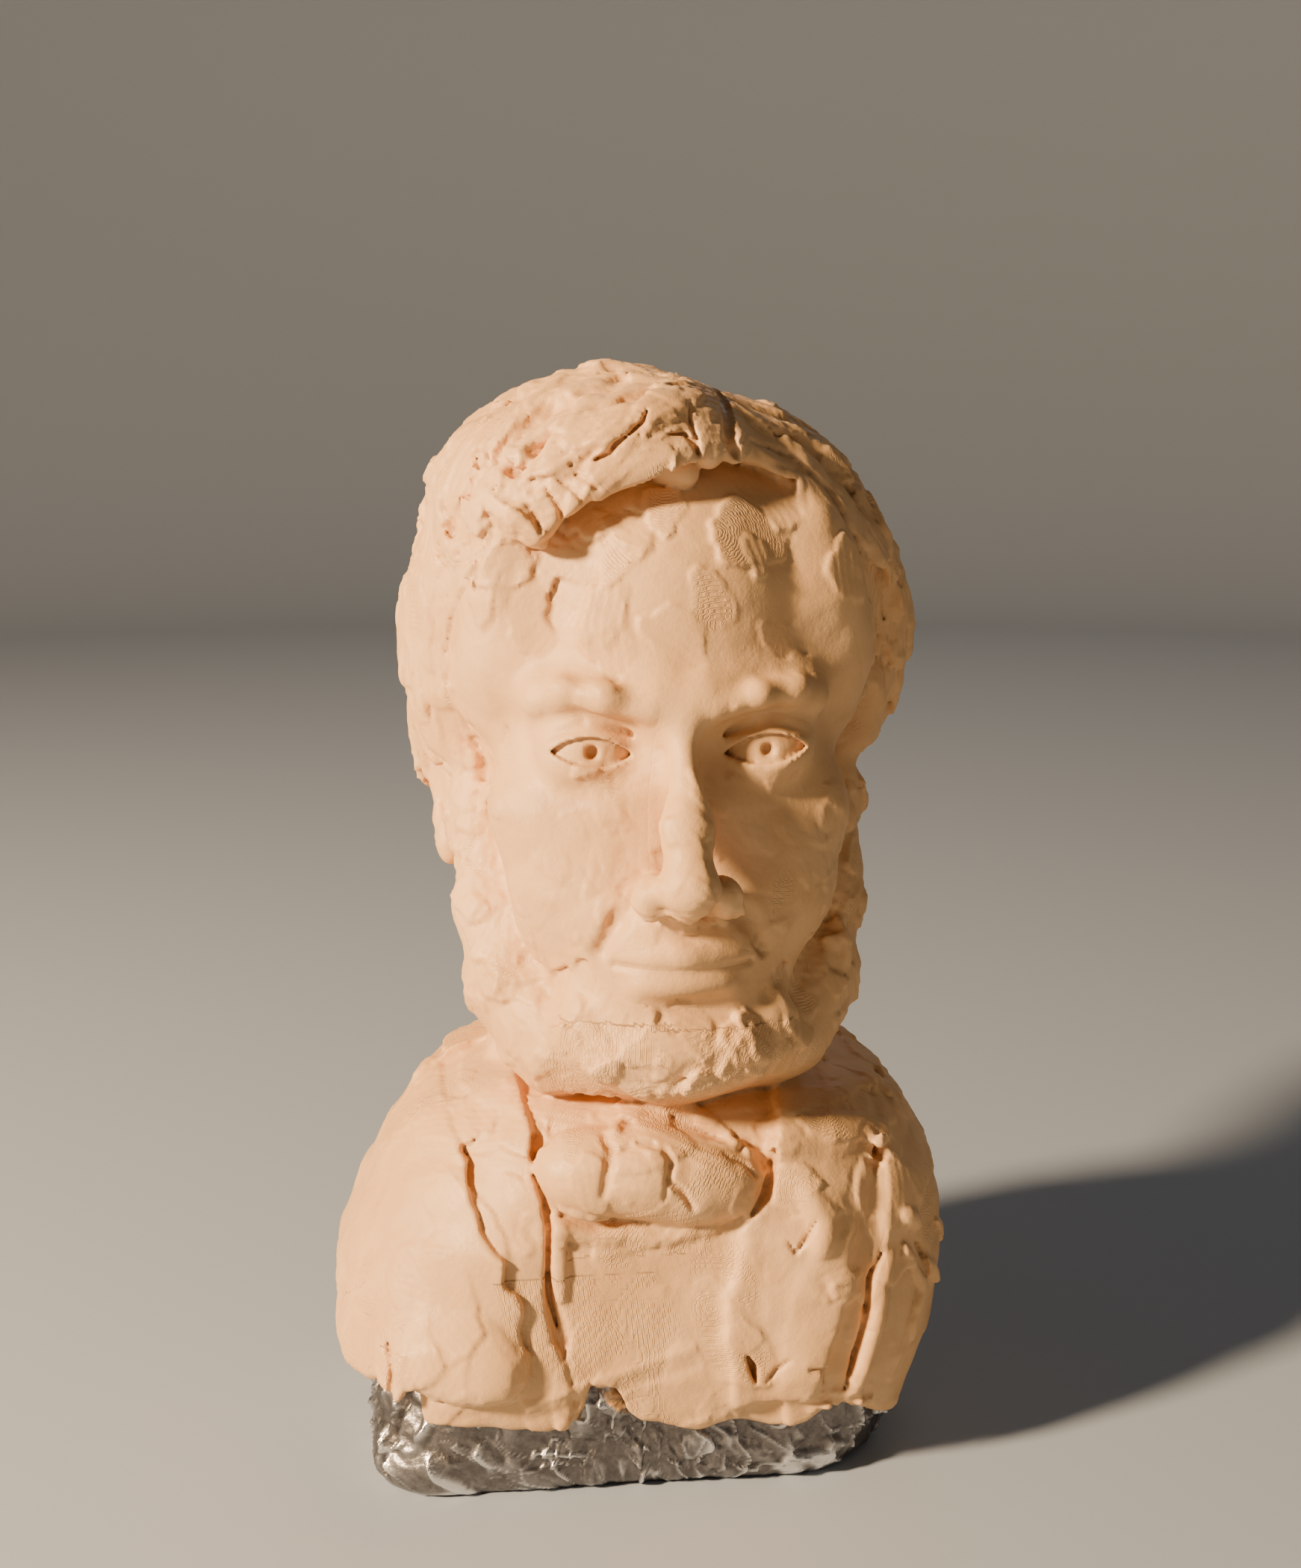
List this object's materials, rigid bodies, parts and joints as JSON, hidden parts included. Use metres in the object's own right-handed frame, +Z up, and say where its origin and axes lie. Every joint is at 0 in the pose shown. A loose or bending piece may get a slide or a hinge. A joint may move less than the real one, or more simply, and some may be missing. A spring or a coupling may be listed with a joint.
{
  "type": "clay portrait bust",
  "caption": "Small hand-modelled clay bust of a bearded figure in a coat, on a foil-wrapped block, free-standing.",
  "frame": {"origin": "centre of the bust's outline on the surface that it stands on", "axes": "+Z up, the face looks along -Y, +X is the sitter's left"},
  "size_m": [0.0884, 0.0854, 0.153],
  "materials": {
    "clay": "matte, hand-smeared, fingerprinted",
    "foil": "crumpled, bright",
    "wood": "plain dowel"
  },
  "bodies": {
    "root": {"beard_chin": "clay", "bow_knot": "clay", "bow_left": "clay", "bow_right": "clay", "chest_clay": "clay", "coat_back": "clay", "coat_collar": "clay", "coat_front_left": "clay", "ear_left": "clay", "ear_right": "clay", "eyeball_left": "clay", "eyeball_right": "clay", "eyebrow_left": "clay", "eyebrow_right": "clay", "foil_core": "foil", "foil_wrap": "foil", "forelock": "clay", "forelock_curl": "clay", "forelock_tip": "clay", "hair_back": "clay", "hair_crown": "clay", "hair_side_left": "clay", "hair_side_right": "clay", "hair_top_left": "clay", "head_clay": "clay", "head_core": "foil", "lapel_left": "clay", "lapel_right": "clay", "lower_lid_left": "clay", "lower_lid_right": "clay", "lower_lip": "clay", "neck_clay": "clay", "neck_post": "wood", "nose": "clay", "shirt_collar": "clay", "shirt_front": "clay", "sleeve_left": "clay", "sleeve_right": "clay", "upper_lid_left": "clay", "upper_lid_right": "clay", "upper_lip": "clay", "whisker_left": "clay", "whisker_right": "clay"}
  },
  "joints": []
}
